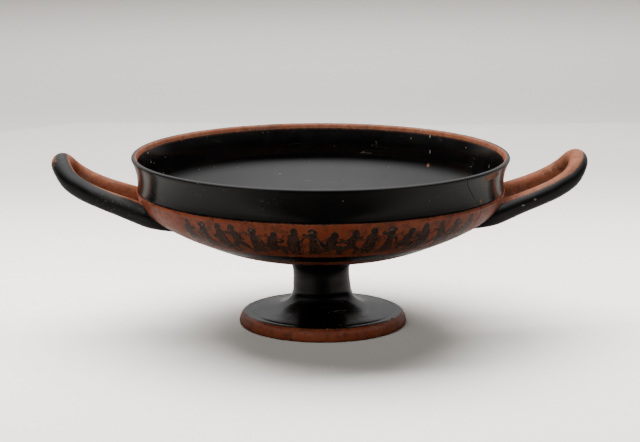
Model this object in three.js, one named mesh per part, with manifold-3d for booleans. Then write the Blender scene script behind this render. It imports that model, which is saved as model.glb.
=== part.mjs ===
// A kylix: a wide, shallow drinking cup of fired clay on a stem and a disc foot, with two looped
// handles. It was thrown, joined while the clay was soft and fired as one piece, so it is one solid.
// Millimetres, +Z up. The origin is on the bowl's axis, in the plane that the foot stands on.
// The handles reach along +X and -X.

import * as THREE from 'three';
import { mergeVertices } from 'three/addons/utils/BufferGeometryUtils.js';
import Module from 'manifold-3d';

// ---- Driving dimensions -------------------------------------------------------------------

const RIM_RADIUS = 95;           // the lip at its widest
const RIM_HEIGHT = 87.4;         // the crest of the rim above the table
const LIP_BASE_HEIGHT = 70.2;    // where the concave lip rises from the bowl
const LIP_BASE_RADIUS = 92.1;
const LIP_WALL = 3.0;            // thickness of the lip
const BOWL_WALL = 4.4;           // thickness of the bowl
const FLOOR_HEIGHT = 40.2;       // the inside of the bowl on its axis

const STEM_RADIUS = 14.2;
const FOOT_RADIUS = 42.4;        // the foot's edge at its widest
const FOOT_EDGE_HEIGHT = 6.8;    // the shoulder between the edge and the top of the foot
const REST_RING_OUTER = 41.2;    // the flat ring that the foot stands on
const REST_RING_INNER = 33.6;
const FOOT_HOLLOW_HEIGHT = 24.5; // the cone under the foot, measured on the axis
const FOOT_OFFSET = 1.2;         // the potter set the foot this far from the bowl's axis, to +X

const HANDLE_REACH = 129.8;      // the middle of the loop's end, from the axis
const HANDLE_TIP_HEIGHT = 83.5;
const HANDLE_HALF_SPACING = 16.4; // from the middle of the loop to the middle of an arm
const HANDLE_RADIUS = 4.9;
const HANDLE_INNER_FLATTENING = 0.86; // the face inside the loop is pressed flatter than the rest

const AROUND = 60;               // facets round the cup
const HANDLE_SIDES = 12;
const HANDLE_STEPS = 36;

const point = (radius, height) => new THREE.Vector2(radius, height);

// A smooth curve through the points, cut into the given number of straight pieces.
const through = (points, pieces) => new THREE.SplineCurve(points).getPoints(pieces);

// ---- Profiles, each a list of (radius, height) points ---------------------------------------

// The cone under the foot, from its top on the axis down to the ring that the foot stands on.
function footHollow() {
  return through([
    point(0, FOOT_HOLLOW_HEIGHT),
    point(6, FOOT_HOLLOW_HEIGHT - 5.5),
    point(9.5, 10.5),
    point(17, 5.8),
    point(REST_RING_INNER - 6, 3.2),
    point(REST_RING_INNER, 0),
  ], 7);
}

// The rounded edge of the foot, which leans out a little towards the table.
function footEdge() {
  return through([
    point(REST_RING_OUTER, 0),
    point(FOOT_RADIUS - 0.1, 0.9),
    point(FOOT_RADIUS, 2.4),
    point(FOOT_RADIUS - 0.8, FOOT_EDGE_HEIGHT - 2),
    point(FOOT_RADIUS - 2, FOOT_EDGE_HEIGHT - 0.5),
    point(FOOT_RADIUS - 3.4, FOOT_EDGE_HEIGHT),
  ], 6);
}

// The top of the foot: a shallow groove near the edge, then a rise into the stem.
function footTopAndStem() {
  const groove = FOOT_RADIUS - 5.6;
  return [
    point(groove + 0.8, FOOT_EDGE_HEIGHT + 0.15),
    point(groove, FOOT_EDGE_HEIGHT - 0.1),
    point(groove - 0.8, FOOT_EDGE_HEIGHT + 0.3),
    ...through([
      point(30, FOOT_EDGE_HEIGHT + 1.1),
      point(22.5, 9.4),
      point(17.4, 12.4),
      point(STEM_RADIUS + 0.8, 16.5),
      point(STEM_RADIUS + 0.3, 21),
      point(STEM_RADIUS, 26.5),
      point(STEM_RADIUS + 0.7, 30.8),
      point(18.5, 33.6),
    ], 9),
  ];
}

// The outside of the bowl: nearly flat by the stem, then turning up to almost upright.
function bowlOutside() {
  return through([
    point(24, 35.2),
    point(34, 37.4),
    point(50, 41.2),
    point(65, 47),
    point(78, 53.3),
    point(86, 58.7),
    point(90.6, 64.3),
    point(LIP_BASE_RADIUS + 0.5, LIP_BASE_HEIGHT - 0.7),
  ], 11);
}

// The lip: a concave wall, set in a little from the bowl, that flares to the rim.
function lipOutside() {
  const rise = RIM_HEIGHT - 1.2 - LIP_BASE_HEIGHT;
  return through([
    point(LIP_BASE_RADIUS, LIP_BASE_HEIGHT),
    point(LIP_BASE_RADIUS - 0.2, LIP_BASE_HEIGHT + rise * 0.25),
    point(LIP_BASE_RADIUS + 0.2, LIP_BASE_HEIGHT + rise * 0.52),
    point(LIP_BASE_RADIUS + 1.3, LIP_BASE_HEIGHT + rise * 0.77),
    point(RIM_RADIUS, RIM_HEIGHT - 1.2),
  ], 5);
}

function rim() {
  return [
    point(RIM_RADIUS - 0.3, RIM_HEIGHT - 0.4),
    point(RIM_RADIUS - 1.1, RIM_HEIGHT),
    point(RIM_RADIUS - 2.1, RIM_HEIGHT - 0.3),
    point(RIM_RADIUS - 2.7, RIM_HEIGHT - 1.1),
  ];
}

// The inside, from just under the rim to the middle of the floor. A soft shoulder parts the lip
// from the bowl, at the height of the lip's base.
function inside() {
  const lipInner = LIP_BASE_RADIUS - LIP_WALL;
  return [
    ...through([
      point(RIM_RADIUS - 3.4, RIM_HEIGHT - 3.4),
      point(lipInner + 1.2, RIM_HEIGHT - 8.4),
      point(lipInner + 0.3, LIP_BASE_HEIGHT + 3),
      point(lipInner - 0.3, LIP_BASE_HEIGHT - 0.8),
      point(lipInner - 1.8, LIP_BASE_HEIGHT - 3.8),
    ], 5),
    ...through([
      point(83.2, 58.7 + BOWL_WALL - 0.6),
      point(75.8, 53.3 + BOWL_WALL - 0.5),
      point(63.2, 47 + BOWL_WALL - 0.3),
      point(48.6, 41.2 + BOWL_WALL),
      point(31, FLOOR_HEIGHT + 1.6),
      point(14, FLOOR_HEIGHT + 0.3),
      point(0, FLOOR_HEIGHT),
    ], 8),
  ];
}

// ---- Solids -----------------------------------------------------------------------------------

const manifoldLibrary = await Module();
manifoldLibrary.setup();

// A closed geometry as a solid: vertices at one place become one, and slivers with two corners in
// one place are dropped.
function solidFrom(geometry) {
  const bare = geometry.clone();
  bare.deleteAttribute('normal');
  bare.deleteAttribute('uv');
  const merged = mergeVertices(bare, 1e-4);
  const index = Array.from(merged.index.array);
  const triangles = [];
  for (let i = 0; i < index.length; i += 3) {
    const [a, b, c] = index.slice(i, i + 3);
    if (a !== b && b !== c && c !== a) triangles.push(a, b, c);
  }
  return new manifoldLibrary.Manifold(new manifoldLibrary.Mesh({
    numProp: 3,
    vertProperties: new Float32Array(merged.attributes.position.array),
    triVerts: new Uint32Array(triangles),
  }));
}

function geometryFrom(solid) {
  const mesh = solid.getMesh();
  const geometry = new THREE.BufferGeometry();
  geometry.setAttribute('position', new THREE.BufferAttribute(new Float32Array(mesh.vertProperties), 3));
  geometry.setIndex(new THREE.BufferAttribute(new Uint32Array(mesh.triVerts), 1));
  geometry.computeVertexNormals();
  return geometry;
}

// A profile that starts and ends on the axis, turned about Z.
function turned(profile) {
  const geometry = new THREE.LatheGeometry(profile, AROUND);
  geometry.rotateX(Math.PI / 2);
  return geometry;
}

// Moves what is below the bowl sideways, so that the stem leans into the offset foot.
function offsetFoot(geometry) {
  const position = geometry.attributes.position;
  for (let i = 0; i < position.count; i += 1) {
    const share = 1 - THREE.MathUtils.smoothstep(position.getZ(i), 4, 38);
    position.setX(i, position.getX(i) + FOOT_OFFSET * share);
  }
  return geometry;
}

// The middle line of a handle with its thickness: half of it, from inside the bowl's wall to the
// loop's end. Each station is [x, half spacing, height, radius].
function handleStations() {
  const spacing = HANDLE_HALF_SPACING;
  const tip = HANDLE_REACH;
  return [
    [72, spacing + 4.2, 52.9, 1],
    [78, spacing + 3.8, 56.4, 3.9],
    [85, spacing + 3, 59.4, HANDLE_RADIUS + 0.6],
    [92, spacing + 2, 62, HANDLE_RADIUS + 0.5],
    [99, spacing + 1.1, 64.6, HANDLE_RADIUS + 0.2],
    [108, spacing, 67.9, HANDLE_RADIUS],
    [tip - 12.8, spacing - 0.7, 71.9, HANDLE_RADIUS],
    [tip - 5.6, spacing - 2.2, 76.6, HANDLE_RADIUS],
    [tip - 1.6, spacing * 0.56, HANDLE_TIP_HEIGHT - 1.9, HANDLE_RADIUS],
    [tip, 0, HANDLE_TIP_HEIGHT, HANDLE_RADIUS + 0.1],
  ];
}

// A closed tube that follows the handle's middle line. Every section stands square to the line,
// round outside and pressed flatter on the side that faces into the loop.
function handle(side) {
  const half = handleStations();
  const stations = [...half, ...half.slice(0, -1).reverse().map(([x, y, z, r]) => [x, -y, z, r])];
  const middle = new THREE.CatmullRomCurve3(
    stations.map(([x, y, z]) => new THREE.Vector3(x * side, -y * side, z)),
    false, 'centripetal');
  const thickness = new THREE.SplineCurve(stations.map(([, , , r], i) => point(i, r)));
  const up = new THREE.Vector3(0, 0, 1);

  const positions = [];
  for (let step = 0; step <= HANDLE_STEPS; step += 1) {
    const t = step / HANDLE_STEPS;
    const centre = middle.getPoint(t);
    const tangent = middle.getTangent(t);
    const outward = new THREE.Vector3().crossVectors(tangent, up).normalize();
    const top = new THREE.Vector3().crossVectors(outward, tangent);
    const radius = thickness.getPoint(t).y;
    for (let k = 0; k < HANDLE_SIDES; k += 1) {
      const angle = (2 * Math.PI * (k + 0.5)) / HANDLE_SIDES;
      const across = Math.cos(angle) * (Math.cos(angle) < 0 ? HANDLE_INNER_FLATTENING : 1);
      const corner = centre.clone()
        .addScaledVector(outward, radius * across)
        .addScaledVector(top, radius * Math.sin(angle));
      positions.push(corner.x, corner.y, corner.z);
    }
  }
  const startCap = positions.length / 3;
  positions.push(...middle.getPoint(0).toArray(), ...middle.getPoint(1).toArray());

  const index = [];
  for (let k = 0; k < HANDLE_SIDES; k += 1) {
    const next = (k + 1) % HANDLE_SIDES;
    for (let step = 0; step < HANDLE_STEPS; step += 1) {
      const a = step * HANDLE_SIDES;
      const b = a + HANDLE_SIDES;
      index.push(a + k, b + k, b + next, a + k, b + next, a + next);
    }
    const last = HANDLE_STEPS * HANDLE_SIDES;
    index.push(startCap, k, next, startCap + 1, last + next, last + k);
  }
  const geometry = new THREE.BufferGeometry();
  geometry.setAttribute('position', new THREE.Float32BufferAttribute(positions, 3));
  geometry.setIndex(index);
  return geometry;
}

// What a handle's root may not reach: the space inside the bowl and the inner part of its wall.
function bowlCore() {
  const shell = inside().map(({ x, y }) => point(x === 0 ? 0 : x + 1.2, y - 1.2));
  return solidFrom(turned([...shell.reverse(), point(RIM_RADIUS, RIM_HEIGHT + 5), point(0, RIM_HEIGHT + 5)]));
}

function kylix() {
  const profile = [
    ...footHollow(),
    ...footEdge(),
    ...footTopAndStem(),
    ...bowlOutside(),
    ...lipOutside(),
    ...rim(),
    ...inside(),
  ];
  const core = bowlCore();
  const cup = solidFrom(offsetFoot(turned(profile)));
  const handles = [1, -1].map((side) => solidFrom(handle(side)).subtract(core));
  return geometryFrom(cup.add(handles[0]).add(handles[1]));
}

const slip = new THREE.MeshStandardMaterial({ color: 0x1c1a18, roughness: 0.28, metalness: 0 });

const cup = new THREE.Mesh(kylix(), slip);
cup.name = 'kylix';

const group = new THREE.Group();
group.add(cup);

export default group;
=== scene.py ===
# %% [markdown]
# # A black-figure kylix, cell by cell
# A kylix is a wide drinking cup of fired clay: a shallow bowl with a concave lip, a short stem, a
# disc foot and two looped handles. This lesson dresses the plain solid of such a cup with its real
# surface: glossy black slip, bare orange clay, a band of small painted figures, and two and a half
# thousand years of wear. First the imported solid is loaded. It is the frame that all else fits.

import bpy
import numpy as np
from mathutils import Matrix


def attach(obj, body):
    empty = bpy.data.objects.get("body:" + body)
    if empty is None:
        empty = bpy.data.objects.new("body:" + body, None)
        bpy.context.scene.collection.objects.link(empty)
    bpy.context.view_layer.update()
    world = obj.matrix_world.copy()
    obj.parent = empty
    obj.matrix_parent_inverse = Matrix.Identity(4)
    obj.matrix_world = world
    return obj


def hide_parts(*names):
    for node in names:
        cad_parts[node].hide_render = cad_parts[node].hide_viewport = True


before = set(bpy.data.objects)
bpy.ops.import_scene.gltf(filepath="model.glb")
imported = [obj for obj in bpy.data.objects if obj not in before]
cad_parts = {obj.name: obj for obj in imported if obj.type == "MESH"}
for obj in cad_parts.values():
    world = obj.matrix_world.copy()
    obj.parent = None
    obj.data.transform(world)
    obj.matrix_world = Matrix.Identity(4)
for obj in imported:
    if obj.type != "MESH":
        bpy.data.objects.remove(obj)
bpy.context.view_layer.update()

MM = 0.001

# %% [markdown]
# ## The camera comes first
# A long lens far away keeps the ellipses of rim and foot calm. The camera stands a little to the
# left of the cup's front, looks down by about twelve degrees, and aims at a point on the bowl's
# axis a bit above half its height.

# %% Camera
CAMERA_DISTANCE = 1.2
CAMERA_ELEVATION = np.radians(11.8)
CAMERA_AZIMUTH = np.radians(-2.5)
AIM = np.array([-0.0003, 0.0, 0.0528])
LENS = 133.5
SENSOR_WIDTH = 36.0


def add_camera():
    """The camera stands on a sphere round AIM: distance times (sin azimuth cos elevation,
    -cos azimuth cos elevation, sin elevation)."""
    level = np.cos(CAMERA_ELEVATION)
    away = np.array([np.sin(CAMERA_AZIMUTH) * level,
                     -np.cos(CAMERA_AZIMUTH) * level,
                     np.sin(CAMERA_ELEVATION)])
    data = bpy.data.cameras.new("camera")
    data.lens = LENS
    data.sensor_width = SENSOR_WIDTH
    data.clip_end = 50
    camera = bpy.data.objects.new("camera", data)
    camera.location = AIM + CAMERA_DISTANCE * away
    camera.rotation_euler = (np.pi / 2 - CAMERA_ELEVATION, 0.0, CAMERA_AZIMUTH)
    bpy.context.collection.objects.link(camera)
    bpy.context.scene.camera = camera
    return camera


camera = add_camera()
print("camera at", [round(v, 3) for v in camera.location])

# %% [markdown]
# ## The cup's outline
# A thrown pot is a profile turned about an axis, so its outline is all that its shape needs. The
# stations are (radius, height) pairs in millimetres, from the top of the hollow under the foot,
# out, up and over the rim, to the middle of the floor. A Catmull-Rom spline makes each stretch
# smooth, and the few corners between stretches stay crisp, as the potter's tools left them.

# %% Splines and stations
RIM_RADIUS, RIM_HEIGHT = 95.0, 87.4
LIP_RADIUS, LIP_HEIGHT = 92.1, 70.2
LIP_WALL, BOWL_WALL, FLOOR_HEIGHT = 3.0, 4.4, 40.2
STEM_RADIUS, FOOT_RADIUS, FOOT_EDGE = 14.2, 42.4, 6.8
RING_OUTER, RING_INNER, HOLLOW_HEIGHT = 41.2, 33.6, 24.5
FOOT_OFFSET = 1.2


def smooth_line(stations, count):
    """Points on a uniform Catmull-Rom spline: between stations b and c it is the cubic that passes
    through both, with slopes (c - a) / 2 and (d - b) / 2 from their neighbours a and d."""
    p = np.asarray(stations, float)
    padded = np.vstack([p[:1], p, p[-1:]])
    t = np.linspace(0, len(p) - 1, count)
    i = np.minimum(t.astype(int), len(p) - 2)
    w = (t - i)[:, None]
    a, b, c, d = padded[i], padded[i + 1], padded[i + 2], padded[i + 3]
    start, end = (c - a) / 2, (d - b) / 2
    return ((2 * b - 2 * c + start + end) * w**3
            + (3 * c - 3 * b - 2 * start - end) * w**2 + start * w + b)


def lengths(line):
    """The distance run along a line of points, from its start to each point."""
    steps = np.linalg.norm(np.diff(line, axis=0), axis=1)
    return np.concatenate([[0.0], np.cumsum(steps)])


def even(line, count):
    """The same line with its points spread evenly along it."""
    run = lengths(line)
    at = np.linspace(0, run[-1], count)
    return np.stack([np.interp(at, run, line[:, k]) for k in range(line.shape[1])], axis=1)


foot_hollow = even(smooth_line([
    (0, HOLLOW_HEIGHT), (6, HOLLOW_HEIGHT - 5.5), (9.5, 10.5), (17, 5.8),
    (RING_INNER - 6, 3.2), (RING_INNER, 0)], 120), 18)
foot_edge = even(smooth_line([
    (RING_OUTER, 0), (FOOT_RADIUS - 0.1, 0.9), (FOOT_RADIUS, 2.4), (FOOT_RADIUS - 0.8, FOOT_EDGE - 2),
    (FOOT_RADIUS - 2, FOOT_EDGE - 0.5), (FOOT_RADIUS - 3.4, FOOT_EDGE)], 120), 12)
GROOVE = FOOT_RADIUS - 5.6
foot_groove = even(smooth_line([
    (FOOT_RADIUS - 3.4, FOOT_EDGE), (GROOVE + 0.8, FOOT_EDGE + 0.15), (GROOVE, FOOT_EDGE - 0.1),
    (GROOVE - 0.8, FOOT_EDGE + 0.3), (30, FOOT_EDGE + 1.1)], 120), 13)
stem = even(smooth_line([
    (30, FOOT_EDGE + 1.1), (22.5, 9.4), (17.4, 12.4), (STEM_RADIUS + 0.8, 16.5),
    (STEM_RADIUS + 0.3, 21), (STEM_RADIUS, 26.5), (STEM_RADIUS + 0.7, 30.8), (18.5, 33.6),
    (24, 35.2)], 240), 30)
bowl_outside = smooth_line([
    (24, 35.2), (34, 37.4), (50, 41.2), (65, 47), (78, 53.3), (86, 58.7), (90.6, 64.3),
    (LIP_RADIUS + 0.5, LIP_HEIGHT - 0.7)], 900)
RISE = RIM_HEIGHT - 1.2 - LIP_HEIGHT
lip_outside = even(smooth_line([
    (LIP_RADIUS, LIP_HEIGHT), (LIP_RADIUS - 0.2, LIP_HEIGHT + RISE * 0.25),
    (LIP_RADIUS + 0.2, LIP_HEIGHT + RISE * 0.52), (LIP_RADIUS + 1.3, LIP_HEIGHT + RISE * 0.77),
    (RIM_RADIUS, RIM_HEIGHT - 1.2)], 120), 15)
rim = even(smooth_line([
    (RIM_RADIUS, RIM_HEIGHT - 1.2), (RIM_RADIUS - 0.3, RIM_HEIGHT - 0.4), (RIM_RADIUS - 1.1, RIM_HEIGHT),
    (RIM_RADIUS - 2.1, RIM_HEIGHT - 0.3), (RIM_RADIUS - 2.7, RIM_HEIGHT - 1.1),
    (RIM_RADIUS - 3.4, RIM_HEIGHT - 3.4)], 120), 14)
LIP_INNER = LIP_RADIUS - LIP_WALL
inside = even(smooth_line([
    (RIM_RADIUS - 3.4, RIM_HEIGHT - 3.4), (LIP_INNER + 1.2, RIM_HEIGHT - 8.4),
    (LIP_INNER + 0.3, LIP_HEIGHT + 3), (LIP_INNER - 0.3, LIP_HEIGHT - 0.8),
    (LIP_INNER - 1.8, LIP_HEIGHT - 3.8), (83.2, 58.3 + BOWL_WALL), (75.8, 52.9 + BOWL_WALL),
    (63.2, 46.8 + BOWL_WALL), (48.6, 41.2 + BOWL_WALL), (31, FLOOR_HEIGHT + 1.6),
    (14, FLOOR_HEIGHT + 0.3), (0, FLOOR_HEIGHT)], 900), 56)
print("outside of the bowl is", round(lengths(bowl_outside)[-1], 1), "mm along its curve")

# %% [markdown]
# ## Where the painter's band begins
# Below the lip runs the picture band. Its figures are a millimetre-scale job, so this part of the
# bowl needs a far finer grid than the rest: rows 0.65 mm apart and 960 columns, where the plain
# parts make do with 240. The band ends at the black zone round the lower bowl.

# %% Split the bowl and stack the rows
BAND_FOOT_RADIUS = 71.6
COARSE, FINE = 240, 960
bowl_run = lengths(bowl_outside)
band_start = np.interp(BAND_FOOT_RADIUS, bowl_outside[:, 0], bowl_run)
low_bowl = even(bowl_outside[bowl_run <= band_start], 24)
band = even(bowl_outside[bowl_run > band_start], 46)

resting_ring = np.array([[(RING_OUTER + RING_INNER) / 2, 0.0]])
stretches = [foot_hollow[1:], resting_ring, foot_edge, foot_groove[1:], stem[1:], low_bowl[1:], band,
             lip_outside, rim[1:], inside[1:-1]]
rows = np.vstack(stretches)
columns = np.concatenate([np.full(len(line), FINE if line is band else COARSE) for line in stretches])
poles = np.array([[0, 0, HOLLOW_HEIGHT], [0, 0, FLOOR_HEIGHT]])
outline = np.vstack([[0, HOLLOW_HEIGHT], rows, [0, FLOOR_HEIGHT]])
outline_run = lengths(outline)
print(len(rows), "rows,", int(columns.sum()), "points, outline", round(outline_run[-1]), "mm long")

# %% [markdown]
# ## Turning the outline
# Each row becomes a ring. Two neighbouring rings with equal columns are joined by quads. Where a
# fine ring meets a coarse one, every coarse edge meets four fine ones, and five triangles close
# the gap. The foot sits a millimetre off the bowl's axis, because nobody centred it with a gauge,
# and the rim is out of round by a tenth of a millimetre.

# %% Turned surface
def ring_points(radius, height, count):
    """A ring: (radius cos a, radius sin a, height) for count angles a round the axis."""
    a = np.arange(count) * 2 * np.pi / count
    return np.stack([radius * np.cos(a), radius * np.sin(a), np.full(count, height)], axis=1)


def ring_faces(low, low_count, high, high_count):
    """Quads between equal rings, or five triangles for each coarse edge that meets four fine ones.
    low and high are the numbers of the rings' first points."""
    if low_count == high_count:
        k = np.arange(low_count)
        n = (k + 1) % low_count
        return [np.stack([low + k, low + n, high + n, high + k], axis=1)]
    flip = low_count > high_count
    coarse, fine, count = (high, low, high_count) if flip else (low, high, low_count)
    k = np.arange(count)
    n = (k + 1) % count
    f = [fine + (4 * k + j) % (4 * count) for j in range(5)]
    c, d = coarse + k, coarse + n
    corners = [(c, f[1], f[0]), (c, f[2], f[1]), (c, d, f[2]), (d, f[3], f[2]), (d, f[4], f[3])]
    faces = [np.stack(t, axis=1) for t in corners]
    return [t[:, ::-1] for t in faces] if flip else faces


def turned_cup():
    """All rings stacked, with a fan of triangles at either pole. Returns points and faces."""
    points = [poles[:1]]
    first = [1]
    for (radius, height), count in zip(rows, columns):
        points.append(ring_points(radius, height, count))
        first.append(first[-1] + count)
    points.append(poles[1:])
    last = first.pop()
    faces = []
    k = np.arange(COARSE)
    n = (k + 1) % COARSE
    faces.append(np.stack([np.zeros_like(k), first[0] + n, first[0] + k], axis=1))
    for i in range(len(rows) - 1):
        faces += ring_faces(first[i], columns[i], first[i + 1], columns[i + 1])
    faces.append(np.stack([np.full_like(k, last), first[-1] + k, first[-1] + n], axis=1))
    return np.vstack(points), faces


LEAN_FOOT, LEAN_TOP = 4.0, 38.0
WAVER_FOOT, WAVER_TOP = 45.0, 85.0


def foot_shift(height):
    """How far to +X a point at this height sits: FOOT_OFFSET below LEAN_FOOT, 0 above LEAN_TOP, and
    a smooth step 1 - t^2 (3 - 2t) between them."""
    t = np.clip((height - LEAN_FOOT) / (LEAN_TOP - LEAN_FOOT), 0, 1)
    return FOOT_OFFSET * (1 - t**2 * (3 - 2 * t))


def thrown(points):
    """Shifts the foot to +X and makes the rim's circle waver: radius times 1 plus a few
    ten-thousandths of cos 2a and cos 3a, which grow with the height."""
    p = points.copy()
    angle = np.arctan2(p[:, 1], p[:, 0])
    high = np.clip((p[:, 2] - WAVER_FOOT) / (WAVER_TOP - WAVER_FOOT), 0, 1)
    waver = 1 + high * (0.0009 * np.cos(2 * angle + 0.6) + 0.0005 * np.cos(3 * angle + 2.0))
    p[:, :2] *= waver[:, None]
    p[:, 0] += foot_shift(p[:, 2])
    return p


def mesh_from(name, points, faces):
    """A mesh from an array of points in millimetres and a list of face arrays, one for each number
    of corners. Loops and faces are written as whole arrays."""
    mesh = bpy.data.meshes.new(name)
    mesh.vertices.add(len(points))
    mesh.vertices.foreach_set("co", (points * MM).astype(np.float32).ravel())
    corners = np.concatenate([f.ravel() for f in faces]).astype(np.int32)
    sizes = np.concatenate([np.full(len(f), f.shape[1]) for f in faces])
    starts = np.concatenate([[0], np.cumsum(sizes)[:-1]]).astype(np.int32)
    mesh.loops.add(len(corners))
    mesh.loops.foreach_set("vertex_index", corners)
    mesh.polygons.add(len(sizes))
    mesh.polygons.foreach_set("loop_start", starts)
    mesh.update(calc_edges=True)
    mesh.validate()
    return mesh


cup_points, cup_faces = turned_cup()
cup_mesh = mesh_from("kylix_cup", thrown(cup_points), cup_faces)
print(len(cup_mesh.vertices), "points and", len(cup_mesh.polygons), "faces in the turned cup")

# %% [markdown]
# ## The handles
# A handle was a rolled rope of clay, bent to a loop and pressed on with wet fingers. It is swept
# along a line of stations (reach, half spacing, height, thickness): round outside, pressed flatter
# on the face that looks into the loop, and thicker where it grows out of the bowl. Where its root
# would come out inside the bowl it is pushed back into the middle of the wall.

# %% Handle sweep
HANDLE_REACH, HANDLE_TIP_HEIGHT, HANDLE_SPACING, HANDLE_RADIUS = 129.8, 83.5, 16.4, 4.9
INNER_FLATTENING = 0.86
HALF_WALL = 1.6
HANDLE_SIDES, HANDLE_STEPS = 32, 120
handle_half = np.array([
    (72, HANDLE_SPACING + 4.2, 52.9, 1.0),
    (78, HANDLE_SPACING + 3.8, 56.4, 3.9),
    (85, HANDLE_SPACING + 3.0, 59.4, HANDLE_RADIUS + 0.6),
    (92, HANDLE_SPACING + 2.0, 62.0, HANDLE_RADIUS + 0.5),
    (99, HANDLE_SPACING + 1.1, 64.6, HANDLE_RADIUS + 0.2),
    (108, HANDLE_SPACING, 67.9, HANDLE_RADIUS),
    (HANDLE_REACH - 12.8, HANDLE_SPACING - 0.7, 71.9, HANDLE_RADIUS),
    (HANDLE_REACH - 5.6, HANDLE_SPACING - 2.2, 76.6, HANDLE_RADIUS),
    (HANDLE_REACH - 1.6, HANDLE_SPACING * 0.56, HANDLE_TIP_HEIGHT - 1.9, HANDLE_RADIUS),
    (HANDLE_REACH, 0.0, HANDLE_TIP_HEIGHT, HANDLE_RADIUS + 0.1)])


def handle_line(side):
    """Middle line and thickness of one whole handle: the half, then its mirror image across the
    loop's end, turned to face side (+1 or -1 along X)."""
    mirrored = handle_half[-2::-1] * [1, -1, 1, 1]
    whole = even(smooth_line(np.vstack([handle_half, mirrored]), 800), HANDLE_STEPS + 1)
    return whole * [side, -side, 1, 1]


def handle_frame(line):
    """At each point of the line: the direction out of the loop, square to the line and level, and
    the direction that completes it upwards."""
    along = np.gradient(line[:, :3], axis=0)
    along /= np.linalg.norm(along, axis=1, keepdims=True)
    outward = np.cross(along, [0.0, 0.0, 1.0])
    outward /= np.linalg.norm(outward, axis=1, keepdims=True)
    return outward, np.cross(outward, along)


def swept_handle(side):
    """Points centre + r (cos a outward + sin a up), with cos a shortened on the inner side, and a
    slow unevenness of the rolled clay."""
    line = handle_line(side)
    outward, upward = handle_frame(line)
    a = (np.arange(HANDLE_SIDES) + 0.5) * 2 * np.pi / HANDLE_SIDES
    across = np.cos(a) * np.where(np.cos(a) < 0, INNER_FLATTENING, 1.0)
    t = np.linspace(0, 1, len(line))
    uneven = 1 + 0.012 * np.sin(23 * t + side)[:, None] * np.cos(2 * a + 7 * t[:, None])
    r = (line[:, 3:] * uneven)[:, :, None]
    points = (line[:, None, :3] + r * across[None, :, None] * outward[:, None]
              + r * np.sin(a)[None, :, None] * upward[:, None])
    points = points.reshape(-1, 3)
    ends = line[[0, -1], :3]
    k = np.arange(HANDLE_SIDES)
    n = (k + 1) % HANDLE_SIDES
    step = (np.arange(HANDLE_STEPS) * HANDLE_SIDES)[:, None]
    quads = np.stack([step + k, step + k + HANDLE_SIDES, step + n + HANDLE_SIDES, step + n], axis=2)
    last = HANDLE_STEPS * HANDLE_SIDES
    start_cap = np.stack([np.full_like(k, len(points)), k, n], axis=1)
    end_cap = np.stack([np.full_like(k, len(points) + 1), last + n, last + k], axis=1)
    return np.vstack([points, ends]), [quads.reshape(-1, 4), start_cap, end_cap]


def pressed_into_wall(points):
    """Points nearer the axis than the middle of the bowl's wall move out to it, level with where
    they were."""
    middle = inside[::-1] + [HALF_WALL, -HALF_WALL]
    wall = np.interp(points[:, 2], middle[:, 1], middle[:, 0])
    radius = np.hypot(points[:, 0], points[:, 1])
    grow = np.where(radius < wall, wall / np.maximum(radius, 1e-6), 1.0)
    return points * np.stack([grow, grow, np.ones_like(grow)], axis=1)


handle_meshes = []
for side in (1, -1):
    handle_points, handle_faces = swept_handle(side)
    handle_meshes.append(mesh_from("handle", pressed_into_wall(handle_points), handle_faces))
print("each handle has", len(handle_meshes[0].polygons), "faces")

# %% [markdown]
# ## One body of clay
# Once joined, cup and handles are a single piece of clay, with no wall left between them. An exact
# boolean union does the same to the meshes. The material slots tell the faces apart afterwards:
# slot 0 for the turned cup, slot 1 for the handles.

# %% Union
def read(items, field, kind=np.int32, width=1):
    """One field of every item of a mesh, as one flat array."""
    values = np.empty(len(items) * width, kind)
    items.foreach_get(field, values)
    return values


def outwards(mesh):
    """Turns the faces round if the mesh's signed volume, the sum of a . (b x c) / 6 over its
    triangles, is negative."""
    mesh.calc_loop_triangles()
    co = read(mesh.vertices, "co", float, 3).reshape(-1, 3)
    triangles = read(mesh.loop_triangles, "vertices", width=3).reshape(-1, 3)
    a, b, c = co[triangles].transpose(1, 0, 2)
    volume = np.einsum("ij,ij->i", a, np.cross(b, c)).sum() / 6
    if volume < 0:
        mesh.flip_normals()
    return abs(volume)


cup_material = bpy.data.materials.new("cup_slip_and_clay")
handle_material = bpy.data.materials.new("handle_slip_and_clay")
for mesh in [cup_mesh, *handle_meshes]:
    print(mesh.name, "holds", round(outwards(mesh) * 1e6, 1), "cubic cm")
    mesh.materials.append(cup_material)
    mesh.materials.append(handle_material)
for mesh in handle_meshes:
    mesh.polygons.foreach_set("material_index", np.ones(len(mesh.polygons), np.int32))


def add_object(name, mesh):
    made = bpy.data.objects.new(name, mesh)
    bpy.context.collection.objects.link(made)
    return made


def joined(base, others):
    """The base mesh with each of the others added by an exact union, as a new plain mesh."""
    body = add_object("body", base)
    tools = [add_object("tool", mesh) for mesh in others]
    for tool in tools:
        union = body.modifiers.new("union", "BOOLEAN")
        union.operation = "UNION"
        union.solver = "EXACT"
        union.object = tool
    graph = bpy.context.evaluated_depsgraph_get()
    result = bpy.data.meshes.new_from_object(body.evaluated_get(graph))
    for used in [body, *tools]:
        bpy.data.objects.remove(used)
    return result


kylix_mesh = joined(cup_mesh, handle_meshes)
kylix_mesh.name = "kylix_painted"
kylix = add_object("kylix_painted", kylix_mesh)
kylix_mesh.polygons.foreach_set("use_smooth", np.ones(len(kylix_mesh.polygons), bool))
print(len(kylix_mesh.vertices), "points,", len(kylix_mesh.polygons), "faces in one body")

# %% [markdown]
# ## Finding one's way on the surface
# Paint follows the pot, so every corner of the mesh is told where it lies: how far along the
# outline and at which angle, or, on a handle, how far along the loop and at which angle round it.
# The nearest stretch of outline, found by projecting onto all of them at once, gives the first.

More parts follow.
